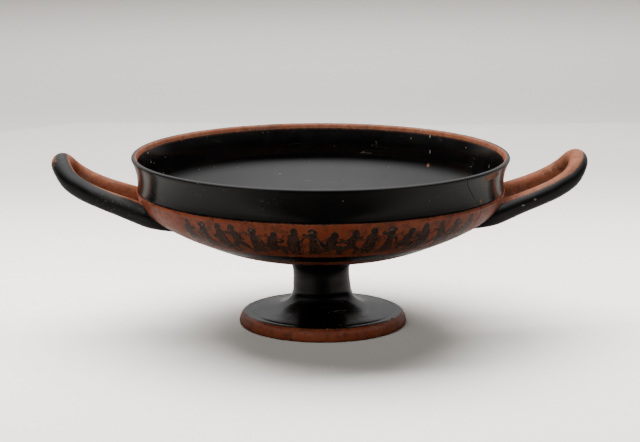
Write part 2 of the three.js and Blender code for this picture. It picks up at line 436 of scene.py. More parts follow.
# %% Surface coordinates
def positions(mesh):
    return read(mesh.vertices, "co", float, 3).reshape(-1, 3) / MM


def unshifted(p):
    """Undoes the foot's offset."""
    return p - foot_shift(p[:, 2:]) * [1, 0, 0]


def along_outline(p, block=8000):
    """Distance along the outline of the point on it that is nearest to each (radius, height)."""
    q = np.stack([np.hypot(p[:, 0], p[:, 1]), p[:, 2]], axis=1)
    a, d = outline[:-1], np.diff(outline, axis=0)
    size = np.maximum((d**2).sum(1), 1e-12)
    found = np.empty(len(q))
    for i in range(0, len(q), block):
        v = q[i:i + block, None] - a
        t = np.clip((v * d).sum(2) / size, 0, 1)
        gap = ((v - t[:, :, None] * d) ** 2).sum(2)
        best = gap.argmin(1)
        share = t[np.arange(len(best)), best]
        found[i:i + block] = outline_run[best] + share * np.sqrt(size[best])
    return found


def round_handle(p):
    """For points of either handle: (0 to 1 along the loop, angle round the section), with 0 at the
    outer side, a quarter turn on top and a half turn on the face inside the loop."""
    share, angle = np.zeros(len(p)), np.zeros(len(p))
    for side in (1, -1):
        mine = p[:, 0] * side > 0
        line = handle_line(side)
        outward, upward = handle_frame(line)
        gap = ((p[mine][:, None] - line[:, :3]) ** 2).sum(2)
        best = gap.argmin(1)
        v = p[mine] - line[best, :3]
        share[mine] = best / (len(line) - 1)
        angle[mine] = np.arctan2((v * upward[best]).sum(1), (v * outward[best]).sum(1))
    return share, angle % (2 * np.pi)


point_mm = unshifted(positions(kylix_mesh))
point_run = along_outline(point_mm)
point_angle = np.arctan2(point_mm[:, 1], point_mm[:, 0])
point_radius = np.hypot(point_mm[:, 0], point_mm[:, 1])
corner_point = read(kylix_mesh.loops, "vertex_index")
face_slot = read(kylix_mesh.polygons, "material_index")
corner_on_handle = np.repeat(face_slot, read(kylix_mesh.polygons, "loop_total")) == 1
on_handle = np.zeros(len(point_mm), bool)
on_handle[corner_point[corner_on_handle]] = True
handle_share, handle_turn = np.zeros(len(point_mm)), np.zeros(len(point_mm))
handle_share[on_handle], handle_turn[on_handle] = round_handle(positions(kylix_mesh)[on_handle])
print(int(on_handle.sum()), "points lie on the handles")

# %% [markdown]
# ## Bands of slip
# The black is not paint but a fine slip of the same clay. The painter laid it on while the cup
# turned, so its edges are circles. Where it is left off, the bare clay shows: a stripe just inside
# the rim, the picture band, a thin line lower down, the edge of the foot and all of its underside.
# Each corner stores one number, `coat`: how many millimetres it lies inside the slip, or, below
# zero, outside it. A smooth number like this keeps its zero line sharp between the mesh's points.
# The middle of the floor gets a small bare disc with two circles and a dot, as many cups have.

# %% Bands on the turned parts
def run_at(line, radius=None, height=None):
    """Distance along the outline of the place on one stretch of it with this radius or height."""
    value, column = (radius, 0) if height is None else (height, 1)
    place = line[np.abs(line[:, column] - value).argmin()]
    start = np.abs(outline - place).sum(1).argmin()
    return outline_run[start]


LIP_FOOT = run_at(lip_outside, height=LIP_HEIGHT)
BAND_FOOT = run_at(band, radius=BAND_FOOT_RADIUS)
RIM_CREST = run_at(rim, height=RIM_HEIGHT)
FOOT_SHOULDER = run_at(foot_edge, radius=FOOT_RADIUS - 2.5)
LINE_RADII = (53.0, 60.5)
low_bowl_run = run_at(low_bowl, radius=low_bowl[0, 0]) + lengths(low_bowl)
LINE_FOOT, LINE_TOP = np.interp(LINE_RADII, low_bowl[:, 0], low_bowl_run)
RIM_EDGE, RIM_STRIPE = 0.7, 3.3
TONDO_RADIUS = 15.0
CENTRE = outline_run[-1]
BEYOND = 50.0
reserved_bands = [(-BEYOND, FOOT_SHOULDER), (LINE_FOOT, LINE_TOP), (BAND_FOOT, LIP_FOOT),
                  (RIM_CREST + RIM_EDGE, RIM_CREST + RIM_STRIPE),
                  (CENTRE - TONDO_RADIUS, CENTRE + BEYOND)]


def band_coat(run):
    """Inside a reserved band the coat is minus the distance to its nearer edge, and outside all of
    them it is plus the distance to the nearest: the least of max(low - run, run - high)."""
    return np.min([np.maximum(low - run, run - high) for low, high in reserved_bands], axis=0)


def tondo_rings(run):
    """Two thin circles and a dot of slip in the small bare disc at the middle of the floor."""
    radius = CENTRE - run
    return np.max([0.45 - np.abs(radius - 11.8), 0.35 - np.abs(radius - 9.6), 1.3 - radius], axis=0)


coat_cup = band_coat(point_run)
inside_tondo = point_run > CENTRE - TONDO_RADIUS
coat_cup[inside_tondo] = np.maximum(coat_cup, tondo_rings(point_run))[inside_tondo]
print("bare bands, as mm along the outline:", [(round(a), round(b)) for a, b in reserved_bands])

# %% [markdown]
# ## The picture band
# Small figures stand about every six degrees along the band: cloaked men with sticks, others seated
# on stools, dancers in long dresses and striding youths, with leafless branches winding between
# them. Such rows of quick silhouettes are common on late cups. Each figure here is a dozen or so
# tapered strokes, as it was with the painter's brush. A stroke is (x, y, x, y, radius, radius) in
# millimetres, with the ground at y = 0, and one hand varies every figure a little.

# %% Figures as brush strokes
FIGURES = {
    "cloaked": {
        "body": [(0.3, 21.0, 0.5, 21.2, 1.35, 1.3), (1.3, 20.3, 1.7, 19.8, 0.6, 0.4),
                 (0.1, 19.6, 0, 18.8, 0.8, 0.9), (0, 17.2, 0, 12.5, 2.2, 2.5),
                 (0, 12.5, -0.2, 5.6, 2.5, 2.7), (-1.7, 14, -2.5, 5.0, 1.0, 0.8),
                 (-0.9, 5, -1.3, 0.8, 0.75, 0.55), (1.0, 5, 1.5, 0.8, 0.7, 0.55),
                 (-1.4, 0.5, 0.1, 0.4, 0.5, 0.45), (1.4, 0.5, 2.8, 0.4, 0.5, 0.45),
                 (1.4, 15.6, 3.3, 14.6, 0.7, 0.55)],
        "cloth": [(0, 16.4, -0.2, 5.8, 1.7, 2.3), (-1.6, 13, -2.2, 6, 0.8, 0.6)],
        "threads": [(3.7, 17.0, 3.1, 0.2)],
        "purple": [(0.9, 16.5, -1.6, 8.0, 0.5, 0.6)]},
    "seated": {
        "body": [(0.3, 19.2, 0.5, 19.4, 1.35, 1.3), (1.3, 18.6, 1.7, 18.1, 0.6, 0.4),
                 (-0.4, 16.2, -1.2, 10.6, 1.9, 2.3), (-1.0, 9.3, 3.0, 9.4, 2.0, 1.5),
                 (3.2, 9.0, 3.1, 1.0, 1.3, 0.8), (3.0, 0.5, 4.5, 0.4, 0.5, 0.45),
                 (-1.9, 9.0, -2.3, 4.6, 1.3, 0.9), (-3.1, 7.0, 1.6, 7.0, 0.5, 0.5),
                 (0.2, 14.8, 3.0, 13.4, 0.75, 0.5), (3.1, 13.4, 4.0, 15.4, 0.45, 0.9)],
        "cloth": [(-0.8, 15.4, -1.2, 10, 1.4, 1.8), (-1.0, 9.3, 2.8, 9.4, 1.6, 1.1),
                  (3.1, 8.6, 3.0, 3.4, 0.9, 0.6)],
        "threads": [(-3.0, 6.8, 1.2, 0.3), (1.2, 6.8, -3.0, 0.3)],
        "purple": [(-0.6, 8.4, 2.6, 8.6, 0.5, 0.5)]},
    "dancer": {
        "body": [(0.2, 20.9, 0.4, 21.0, 1.3, 1.25), (-0.9, 21.0, -1.4, 20.4, 0.7, 0.6),
                 (0, 18.2, 0, 13.2, 1.5, 1.35), (0, 12.6, -0.7, 4.2, 1.7, 3.0),
                 (-3.0, 4.0, 2.2, 2.8, 1.0, 0.7), (0.7, 17.6, 3.7, 19.4, 0.65, 0.5),
                 (-0.7, 17.3, -3.2, 14.4, 0.65, 0.5), (-1.3, 2.2, -1.5, 0.6, 0.5, 0.45),
                 (1.3, 2.0, 2.2, 0.6, 0.5, 0.45), (-3.3, 14.2, -4.2, 9.4, 0.5, 0.7)],
        "cloth": [(0, 12.6, -0.7, 4.6, 1.2, 2.5), (0, 17.4, 0, 13.6, 1.0, 0.9)],
        "threads": [],
        "purple": [(-0.9, 11.4, -2.4, 4.6, 0.45, 0.6)],
        "white": [(0.5, 20.9, 0.7, 20.9, 0.85, 0.8), (1.2, 17.9, 3.6, 19.3, 0.4, 0.35),
                  (-1.0, 17.0, -3.1, 14.5, 0.4, 0.35)]},
    "striding": {
        "body": [(0.9, 20.6, 1.1, 20.8, 1.3, 1.25), (2.0, 20.0, 2.3, 19.5, 0.55, 0.4),
                 (0.4, 18.6, 0.3, 17.6, 0.9, 1.5), (0.2, 17.2, -0.3, 12.0, 1.75, 1.4),
                 (0.1, 11.4, 2.6, 7.6, 1.45, 1.1), (2.7, 7.2, 2.4, 1.2, 0.95, 0.6),
                 (2.4, 0.5, 4.0, 0.4, 0.5, 0.45), (-0.5, 11.2, -2.5, 6.8, 1.4, 1.0),
                 (-2.5, 6.6, -4.1, 1.5, 0.9, 0.6), (-4.3, 1.0, -3.0, 0.5, 0.5, 0.45),
                 (0.9, 16.8, 3.9, 17.8, 0.75, 0.5), (-0.9, 16.6, -3.0, 13.4, 0.75, 0.5),
                 (-1.1, 12.0, -3.0, 9.8, 0.55, 0.55), (-3.0, 9.8, -3.3, 7.2, 0.55, 0.45)],
        "cloth": [(-0.1, 16.4, -0.2, 13.2, 0.9, 0.7)],
        "threads": [],
        "purple": [(1.8, 20.2, 2.1, 19.7, 0.35, 0.3)]},
}


def stroke_depth(x, y, stroke):
    """Depth inside a tapered stroke: its radius at the nearest place on its middle line, less the
    distance to that place."""
    x0, y0, x1, y1, r0, r1 = stroke
    dx, dy = x1 - x0, y1 - y0
    t = np.clip(((x - x0) * dx + (y - y0) * dy) / (dx * dx + dy * dy), 0, 1)
    return r0 + (r1 - r0) * t - np.hypot(x - x0 - t * dx, y - y0 - t * dy)


def deepest(x, y, strokes):
    """The union of strokes: the greatest depth at each point."""
    return np.max([stroke_depth(x, y, stroke) for stroke in strokes], axis=0)


print({name: len(parts["body"]) for name, parts in FIGURES.items()}, "strokes in the figures")

# %% [markdown]
# ## Setting out the row
# On the front the figures fill the band from handle to handle. The back repeats the scheme with
# fewer figures. Each layer of paint is a depth in millimetres inside its strokes. Thin things, such
# as sticks, stool legs and branches, are narrower than the grid's cells, so they are stored as a
# signed distance from their middle line, and the material draws the line where that is near zero.

# %% Row of figures
GROUND = LIP_FOOT - 25.0
FRONT_FROM, FRONT_TO = -137.0, -40.5
BACK_FROM, BACK_TO = 47.0, 133.0
FRONT_ORDER = ["striding", "dancer", "cloaked", "striding", "dancer", "seated", "cloaked", "dancer",
               "seated", "striding", "cloaked", "dancer", "seated", "cloaked", "striding", "dancer",
               "cloaked"]
BACK_ORDER = ["cloaked", "striding", "cloaked", "dancer", "seated", "cloaked", "dancer", "striding",
              "cloaked", "cloaked"]
TWIG_HALF_WIDTH = 0.24
THREAD_REACH = 1.3
FIGURE_REACH = 5.0
FOLD_REACH = 0.8
BREADTH = 1.1
DEGREE_WIDTH = 1.13
BRUSH_SPREAD = {"body": 0.2, "cloth": 0.2, "purple": 0.3, "white": 0.0}
NO_PAINT = {"body": -9.0, "cloth": -9.0, "purple": -9.0, "white": -9.0, "thread": 9.0, "fold": 0.0}
hand = np.random.default_rng(5)

in_band = (point_run > BAND_FOOT - 1) & (point_run < LIP_FOOT + 0.5)
band_radius = point_radius[in_band]
band_angle = np.degrees(point_angle[in_band])
band_height = point_run[in_band] - GROUND
paint = {name: np.full(len(band_angle), value) for name, value in NO_PAINT.items()}


def deepen(layer, depth, where):
    """Keeps the greater depth of paint."""
    paint[layer][where] = np.maximum(paint[layer][where], depth)


def nearest_thread(offset, reach, where):
    """Keeps the signed distance of whichever thin line is nearer, along the line's own reach."""
    old = paint["thread"][where]
    nearer = (np.abs(offset) < np.abs(old)) & (np.abs(offset) < THREAD_REACH) & (reach > 0)
    paint["thread"][where] = np.where(nearer, offset, old)


def paint_figure(kind, angle, facing, lean, size):
    """Maps the band near one angle to the figure's own (x, y), with x turned for its facing, and
    merges each of its layers of strokes into the band's."""
    gap = (band_angle - angle + 180) % 360 - 180
    where = np.abs(gap) < FIGURE_REACH
    y = band_height[where] / size
    x = np.radians(gap[where]) * band_radius[where] * facing / BREADTH
    x = (x + lean * (y - 10)) / size
    for layer, spread in BRUSH_SPREAD.items():
        if layer in FIGURES[kind]:
            deepen(layer, deepest(x, y, FIGURES[kind][layer]) * size + spread, where)
    for x0, y0, x1, y1 in FIGURES[kind]["threads"]:
        length = np.hypot(x1 - x0, y1 - y0)
        along = ((x - x0) * (x1 - x0) + (y - y0) * (y1 - y0)) / length
        offset = ((x - x0) * (y1 - y0) - (y - y0) * (x1 - x0)) / length
        nearest_thread(offset, np.minimum(along, length - along), where)
    fold = 0.72 * x + 0.14 * y + 0.30 * np.sin(0.55 * y + 3 * angle)
    near = paint["body"][where] > -FOLD_REACH
    paint["fold"][where] = np.where(near, fold, paint["fold"][where])


def row_of_figures(order, start, stop, full_size):
    """Spaces the figures evenly between two angles, each with its own small turn and size."""
    for kind, angle in zip(order, np.linspace(start, stop, len(order))):
        facing = hand.choice([-1, 1])
        nudge, lean, size = hand.normal(0, [0.25, 0.025, 0.018])
        paint_figure(kind, angle + nudge, facing, lean, full_size + size)


def winding(a, height, swing):
    """The height of a branch at an angle: height + swing sin 0.9a + a smaller, quicker wave."""
    return height + swing * np.sin(a * 0.9) + 0.5 * np.sin(a * 2.3)


def branch(start, stop, height, swing):
    """A leafless branch. The distance to it is measured straight up and divided by the length of
    (1, slope), with a degree taken as DEGREE_WIDTH millimetres."""
    where = (band_angle > start - 1) & (band_angle < stop + 1)
    a = band_angle[where]
    slope = (swing * 0.9 * np.cos(a * 0.9) + 1.15 * np.cos(a * 2.3)) / DEGREE_WIDTH
    offset = (band_height[where] - winding(a, height, swing)) / np.hypot(1, slope)
    nearest_thread(offset, np.minimum(a - start, stop - a), where)


def berries(start, stop, height, swing):
    """Round dots a little off the branch, above and below it by turns."""
    for n, a in enumerate(np.arange(start + 0.6, stop, 1.5)):
        up = 1.15 if n % 2 else -1.15
        where = np.abs(band_angle - a) < 1.2
        x = np.radians(band_angle[where] - a) * band_radius[where]
        y = band_height[where] - winding(a, height, swing) - up
        deepen("body", 0.52 - np.hypot(x, y), where)


row_of_figures(FRONT_ORDER, FRONT_FROM, FRONT_TO, 1.0)
row_of_figures(BACK_ORDER, BACK_FROM, BACK_TO, 0.99)
for start in np.linspace(FRONT_FROM - 3, FRONT_TO - 9, 8):
    branch(start, start + 11, 16.5, 1.6)
    berries(start, start + 11, 16.5, 1.6)
for start in np.linspace(BACK_FROM - 2, BACK_TO - 12, 4):
    branch(start, start + 13, 16.8, 1.2)
ground_line = 0.34 - np.abs(band_height + 0.6)
deepen("body", ground_line, slice(None))
coat_cup[in_band] = np.maximum(coat_cup[in_band], paint["body"])
print("share of the band under slip:", round(float((coat_cup[in_band] > 0).mean()), 2))

# %% [markdown]
# ## Slip on the handles
# The handles are black outside and underneath, right down to their roots. Their inner face, which
# looks into the loop, was left bare. The brush stopped at a different height on each arm: on the
# handle at +X the bare clay runs over the top, and on the other the black covers the loop's end. The
# edge of the slip is an angle round the section, for a few places from the loop's end to the root.

# %% Paint on the handles
ROOT_SHARE = 0.78
ARM_PLACES = [0.0, 0.12, 0.35, 0.55, 0.8, 1.0, 1.2]
BARE_FROM = {(-1, True): [132, 126, 101, 84, 78, 62, 50], (-1, False): [132, 104, 82, 80, 84, 90, 90],
             (1, True): [64, 54, 50, 50, 52, 58, 50], (1, False): [64, 60, 56, 54, 56, 60, 60]}
BARE_TO = np.radians(247)


def handle_coat(p, share, turn):
    """Distance round the section, radius times angle, from the bare stretch that runs from the
    arm's own edge angle to BARE_TO."""
    place_on_arm = np.abs(2 * share - 1) / ROOT_SHARE
    begin = np.zeros(len(p))
    for (side, near), angles in BARE_FROM.items():
        arm = (p[:, 0] * side > 0) & ((p[:, 1] < 0) == near)
        begin[arm] = np.radians(np.interp(place_on_arm[arm], ARM_PLACES, angles))
    middle, half = (begin + BARE_TO) / 2, (BARE_TO - begin) / 2
    off = np.abs((turn - middle + np.pi) % (2 * np.pi) - np.pi) - half
    return off * HANDLE_RADIUS


painted_handle = np.zeros(len(point_mm))
painted_handle[on_handle] = handle_coat(point_mm[on_handle], handle_share[on_handle],
                                        handle_turn[on_handle])
print("share of the handles under slip:", round(float((painted_handle[on_handle] > 0).mean()), 2))

# %% [markdown]
# ## Where the cup is rubbed
# Slip wears where hands and shelves touch: on the rim's crest, on the edge where lip meets bowl, on
# the foot's shoulder and along the ends of the loops. One more number, `rub`, rises towards 1
# there. A crack runs down the lip near the root of one handle: the line's stations are (height,
# angle), and its signed distance is stored like that of a thin painted line.

# %% Wear and crack
def bump_at(value, centre, width):
    """A bell curve, exp(-((value - centre) / width) squared)."""
    return np.exp(-((value - centre) / width) ** 2)


rub_cup = np.max([0.4 * bump_at(point_run, RIM_CREST, 1.3), 0.55 * bump_at(point_run, LIP_FOOT, 1.2),
                  0.9 * bump_at(point_run, FOOT_SHOULDER, 1.6),
                  0.8 * bump_at(point_run, run_at(foot_edge, height=0), 2.0)], axis=0)
rub_handle = np.maximum(bump_at(handle_share, 0.5, 0.09) * bump_at(np.cos(handle_turn), 0.6, 0.9),
                        0.12)
CRACK = np.array([(58.0, -34.0), (62.0, -34.6), (66.0, -35.2), (69.6, -35.6), (72.9, -36.8),
                  (74.3, -38.6), (79.0, -41.2), (83.9, -44.5), (88.0, -45.8)])
CRACK_FOOT, NO_CRACK = 57.0, 12.0
crack_angle = np.interp(point_mm[:, 2], CRACK[:, 0], CRACK[:, 1])
crack_offset = np.radians(np.degrees(point_angle) - crack_angle) * point_radius
cracked = (point_run > BAND_FOOT) & (point_run < RIM_CREST + 3) & (point_mm[:, 2] > CRACK_FOOT)
crack = np.where(cracked & (np.abs(crack_offset) < NO_CRACK), crack_offset, NO_CRACK)
print("points near the crack:", int((np.abs(crack) < 3).sum()))

# %% [markdown]
# ## Handing the numbers to the material
# The numbers go onto face corners rather than points, because along the joint between bowl and
# handle one point belongs to both, and its paint differs on either side. `wash` is 1 where the clay
# got a thin red wash before the picture was painted, 0.7 on the foot, 0 on the rest of the cup and
# -1 on the handles. `lay` is a place in the slip's own coordinates, along the outline and round it,
# for streaks that follow the brush.

# %% Attributes
WASH_OVERLAP, FOOT_WASH, LAY_RADIUS = 3.0, 0.7, 30.0


def corner_values(cup_values, handle_values):
    """Picks for each corner the cup's value or the handle's."""
    return np.where(corner_on_handle, handle_values[corner_point], cup_values[corner_point])


def store(name, values, kind="FLOAT"):
    layer = kylix_mesh.attributes.new(name, kind, "CORNER")
    field = "vector" if kind == "FLOAT_VECTOR" else "value"
    layer.data.foreach_set(field, np.ascontiguousarray(values, np.float32).ravel())


def everywhere(value):
    return np.full(len(point_mm), value)


def over_band(values, elsewhere):
    full = everywhere(elsewhere)
    full[in_band] = values
    return full


store("coat", corner_values(coat_cup, painted_handle))
for name in ("thread", "fold", "cloth", "purple", "white"):
    store(name, corner_values(over_band(paint[name], NO_PAINT[name]), everywhere(NO_PAINT[name])))
store("rub", corner_values(rub_cup, rub_handle))
store("crack", corner_values(crack, everywhere(NO_CRACK)))
near_line = (point_run > LINE_FOOT - WASH_OVERLAP) & (point_run < LINE_TOP + WASH_OVERLAP)
foot_wash = np.where(point_run < FOOT_SHOULDER + WASH_OVERLAP, FOOT_WASH, 0.0)
store("wash", corner_values(np.where(in_band | near_line, 1.0, foot_wash), everywhere(-1.0)))
direction = point_mm[:, :2] / np.maximum(point_radius, 1e-6)[:, None]
lay_cup = np.column_stack([point_run, direction * LAY_RADIUS])
lay_handle = np.column_stack([handle_turn * HANDLE_RADIUS, handle_share * 60 + 90,
                              np.sign(point_mm[:, 0]) * 40])
lay = np.where(corner_on_handle[:, None], lay_handle[corner_point], lay_cup[corner_point])
store("lay", lay, "FLOAT_VECTOR")
kylix_mesh.polygons.foreach_set("material_index", np.zeros(len(kylix_mesh.polygons), np.int32))
kylix_mesh.materials.clear()
print(sorted(a.name for a in kylix_mesh.attributes if a.domain == "CORNER"))

# %% [markdown]
# ## A few words for the node tree
# The material is one long recipe, so short helpers keep it readable: each makes one node, links or
# sets its inputs, and gives back its output. Lengths are in millimetres throughout, from Object
# coordinates scaled by a thousand, so that a grain of 0.3 mm can be asked for as such.

# %% Node helpers
slip_and_clay = bpy.data.materials.new("slip_and_clay")
slip_and_clay.use_nodes = True
tree = slip_and_clay.node_tree
shader = tree.nodes["Principled BSDF"]


def feed(socket, value):
    """Links an output, or sets a constant."""
    if isinstance(value, bpy.types.NodeSocket):
        tree.links.new(value, socket)
    else:
        socket.default_value = value


def calc(operation, a, b=0.0, clamp=False):
    made = tree.nodes.new("ShaderNodeMath")
    made.operation = operation
    made.use_clamp = clamp
    feed(made.inputs[0], a)
    feed(made.inputs[1], b)
    return made.outputs[0]


def times(a, b, clamp=False):
    return calc("MULTIPLY", a, b, clamp)


def plus(a, b):
    return calc("ADD", a, b)


def minus(a, b):
    return calc("SUBTRACT", a, b)


def larger(a, b):
    return calc("MAXIMUM", a, b)


def unsigned(a):
    return calc("ABSOLUTE", a)


def vector(operation, a, b=(0, 0, 0)):
    made = tree.nodes.new("ShaderNodeVectorMath")
    made.operation = operation
    feed(made.inputs[0], a)
    feed(made.inputs[1], b)
    return made.outputs["Value" if operation == "LENGTH" else "Vector"]


def stored(name):
    made = tree.nodes.new("ShaderNodeAttribute")
    made.attribute_name = name
    return made.outputs["Vector" if name == "lay" else "Fac"]


def noise(at, size, detail=2.0, roughness=0.5):
    """Noise with features about size millimetres across, from 0 to 1."""
    made = tree.nodes.new("ShaderNodeTexNoise")
    feed(made.inputs["Vector"], at)
    made.inputs["Scale"].default_value = 1 / size
    made.inputs["Detail"].default_value = detail
    made.inputs["Roughness"].default_value = roughness
    return made.outputs["Fac"]


def wobble(at, size, detail, reach):
    """Noise centred on zero: reach times (noise less a half)."""
    return times(minus(noise(at, size, detail), 0.5), reach)


def cells(at, size):
    """Distance to the nearest of many scattered points, in units of size millimetres."""
    made = tree.nodes.new("ShaderNodeTexVoronoi")
    feed(made.inputs["Vector"], at)
    made.inputs["Scale"].default_value = 1 / size
    return made.outputs["Distance"]


def between(value, low, high, to_low=0.0, to_high=1.0):
    """A smooth step: to_low below low, to_high above high."""
    made = tree.nodes.new("ShaderNodeMapRange")
    made.interpolation_type = "SMOOTHSTEP"
    for socket, number in zip(made.inputs, (value, low, high, to_low, to_high)):
        feed(socket, number)
    return made.outputs[0]


def colour_mix(share, a, b):
    made = tree.nodes.new("ShaderNodeMix")
    made.data_type = "RGBA"
    feed(made.inputs["Factor"], share)
    for socket, value in ((made.inputs["A"], a), (made.inputs["B"], b)):
        feed(socket, (*value, 1.0) if isinstance(value, tuple) else value)
    return made.outputs["Result"]


def coated(ground, *coats):
    """The ground with coats laid over it one by one. Each coat is (share that it covers, colour)."""
    for share, colour in coats:
        ground = colour_mix(share, ground, colour)
    return ground


def blend_numbers(share, a, b):
    """a where share is 0 and b where it is 1."""
    made = tree.nodes.new("ShaderNodeMix")
    feed(made.inputs["Factor"], share)
    feed(made.inputs["A"], a)
    feed(made.inputs["B"], b)
    return made.outputs["Result"]


print("helpers ready")

# %% [markdown]
# ## Slip or clay
# The zero line of `coat` is wobbled by a little noise, because a loaded brush never leaves a perfect
# edge. Thin lines and incised folds join in here. Incision is the black-figure painter's drawing: a
# point scratched through the slip to the clay. The folds are where `fold` is half-way between whole
# numbers, and they break off here and there, as the point skipped.

# %% Masks
EDGE_SOFTNESS = (-0.08, 0.10)
FOLD_HALF_WIDTH = (0.10, 0.055)
INCISED_SHARE = 0.6

coordinates = tree.nodes.new("ShaderNodeTexCoord")
place = vector("MULTIPLY", coordinates.outputs["Object"], (1 / MM, 1 / MM, 1 / MM))
lay_place = stored("lay")
rub = stored("rub")
wash = stored("wash")
washed = larger(wash, 0.0)
handled = larger(times(wash, -1.0), 0.0)
painted_band = between(washed, 0.8, 0.95)

coat_edge = plus(stored("coat"), plus(wobble(place, 1.6, 3.0, 0.7), wobble(place, 14.0, 1.0, 0.6)))
figure_depth = larger(coat_edge, minus(TWIG_HALF_WIDTH, unsigned(stored("thread"))))
slip = between(figure_depth, *EDGE_SOFTNESS)

fold_line = between(unsigned(minus(calc("FRACT", stored("fold")), 0.5)), *FOLD_HALF_WIDTH)
in_cloth = between(stored("cloth"), 0.0, 0.25)
unbroken = between(noise(place, 2.2, 1.0), 0.38, 0.48)
incised = times(times(fold_line, in_cloth), times(unbroken, INCISED_SHARE))
print("masks ready")

# %% [markdown]
# ## Wear and finds from the ground
# Slip flakes off in small chips, and in ragged patches where the cup is rubbed. Scratches are thin
# bands of stretched noise. Pale specks are lime left from the soil. The larger losses are placed one
# by one: each is an oval, (centre in mm, half sizes in mm, strength), with a ragged edge. Specks are
# smaller ovals of lime. Abrasions are soft ovals of duller slip flecked with pale grey: partly grit on
# worn slip, partly painted sheen.

# %% Wear masks
CHIP_SIZE, CHIP_SPACING = 0.9, 3.4
RUBBED_FROM, RUBBED_TO = 0.89, 0.96
RAGGED_OUTSIDE, RAGGED_INSIDE = 1.62, 1.42
LIME_SPACING, LIME_SIZE = 6.0, 0.115
SCRATCH_STRETCH = (0.35, 0.35, 2.6)
SCRATCH_EDGES = (0.0035, 0.001)
CRACK_WIDTH = (0.34, 0.16)

flaking = larger(minus(noise(place, 9.0, 2.0), 0.60), 0.0)
chips = between(minus(cells(place, CHIP_SPACING), times(flaking, CHIP_SIZE)), 0.02, -0.02)
rub_field = plus(times(noise(place, 2.4, 4.0, 0.65), 0.75), times(noise(lay_place, 7.0, 2.0), 0.35))
rubbed_off = between(plus(rub_field, times(rub, 0.30)), RUBBED_FROM, RUBBED_TO)


def at_angle(degrees, height, radius):
    a = np.radians(degrees)
    return (radius * np.cos(a), radius * np.sin(a), height)


LOSSES = [
    (at_angle(-31.0, 84.4, 93.8), (7.6, 7.6, 1.9), 1.0),
    (at_angle(-27.0, 83.6, 93.6), (3.0, 3.0, 1.6), 1.0),
    (at_angle(-35.0, 72.9, 92.2), (1.1, 1.1, 0.8), 1.0),
    (at_angle(47.3, 69.0, 88.8), (0.9, 0.9, 0.8), 1.0),
    (at_angle(160.0, 73.0, 93.2), (2.4, 2.4, 1.5), 0.9),
    (at_angle(104.0, 80.0, 95.2), (2.8, 2.8, 1.1), 0.9),
    ((36.0, -21.0, 6.0), (3.0, 3.0, 1.0), 0.9),
]
SPECKS = [
    (at_angle(48.0, 84.2, 91.5), (0.4, 0.4, 0.9)),
    (at_angle(47.1, 75.9, 89.9), (0.35, 0.35, 1.1)),
    (at_angle(13.2, 76.2, 90.0), (0.35, 0.35, 1.3)),
    (at_angle(162.7, 83.6, 91.4), (0.6, 0.6, 0.5)),
    (at_angle(162.1, 78.8, 90.3), (0.5, 0.5, 0.5)),
    ((99.8, -22.0, 64.5), (0.9, 1.6, 0.4)),
    ((105.9, -21.5, 67.3), (0.7, 1.6, 0.4)),
]
# worn patches on the left handle and the lip; their pale grey flecks are partly grit, partly painted
# sheen
WORN_AND_SHEEN_PATCHES = [
    ((-126.5, -4.0, 88.0), (9.0, 16.0, 8.0)),
    ((-111.0, -22.0, 67.0), (15.0, 9.0, 8.0)),
    ((-96.0, -22.0, 64.0), (9.0, 9.0, 9.0)),
    (at_angle(-129.0, 81.0, 93.0), (5.0, 5.0, 5.0)),
]
ragged = noise(place, 1.5, 3.0, 0.6)


def oval(centre, half_sizes):
    """The length of (place - centre) / half sizes: 0 in the middle and 1 on the oval's edge."""
    away = vector("SUBTRACT", place, centre)
    return vector("LENGTH", vector("MULTIPLY", away, tuple(1 / size for size in half_sizes)))


def ragged_oval(centre, half_sizes):
    """1 inside an oval and 0 outside, with noise along its edge."""
    return between(plus(oval(centre, half_sizes), ragged), RAGGED_OUTSIDE, RAGGED_INSIDE)


lost = larger(chips, rubbed_off)
for centre, half_sizes, strength in LOSSES:
    lost = larger(lost, times(ragged_oval(centre, half_sizes), strength))
lime_size = times(noise(place, 25.0), LIME_SIZE)
lime = between(minus(cells(place, LIME_SPACING), lime_size), 0.0, -0.03)
specks = times(lime, 0.8)
for centre, half_sizes in SPECKS:
    specks = larger(specks, ragged_oval(centre, half_sizes))
worn_and_sheen = 0.0
for centre, half_sizes in WORN_AND_SHEEN_PATCHES:
    worn_and_sheen = larger(worn_and_sheen, between(oval(centre, half_sizes), 1.0, 0.4))
grit_and_sheen = times(worn_and_sheen, between(noise(place, 1.3, 3.0, 0.7), 0.60, 0.70))
scratch_place = vector("MULTIPLY", place, SCRATCH_STRETCH)
scratches = between(unsigned(minus(noise(scratch_place, 7.0, 1.0), 0.5)), *SCRATCH_EDGES)
scratches = times(scratches, between(noise(place, 16.0, 1.0), 0.55, 0.66))
crack_line = between(unsigned(plus(stored("crack"), wobble(place, 2.5, 3.0, 1.3))), *CRACK_WIDTH)
print(len(LOSSES), "losses and", len(SPECKS), "specks placed")

# %% [markdown]
# ## Colours
# Fired slip is a warm near-black, browner where it lay thin and faded in the picture band. The clay
# is orange, redder under the painter's wash, with stains and brown soil in its pores. Purple-red and
# white were added over the slip and have mostly worn away. Each finish is a ground with coats over
# it, and at last the slip lies over the clay.

# %% Colours
SLIP_DARK = (0.0050, 0.0047, 0.0044)
SLIP_BROWN = (0.030, 0.015, 0.009)
SLIP_THIN = (0.105, 0.048, 0.030)
FADED = (0.098, 0.057, 0.038)
CLAY = (0.44, 0.150, 0.068)
CLAY_DEEP = (0.38, 0.100, 0.039)
CLAY_WASHED = (0.60, 0.130, 0.047)
CLAY_RED = (0.50, 0.092, 0.033)
CLAY_PALE = (0.50, 0.25, 0.14)
STAIN = (0.150, 0.045, 0.022)
SOIL = (0.085, 0.048, 0.030)
LIME = (0.50, 0.44, 0.37)
GRIT_AND_SHEEN = (0.19, 0.165, 0.13)
PURPLE = (0.17, 0.052, 0.048)
CREAM = (0.36, 0.29, 0.23)
CRACK_DARK = (0.010, 0.008, 0.006)
THIN_EDGE, THIN_EDGE_WASHED = 1.2, 0.3

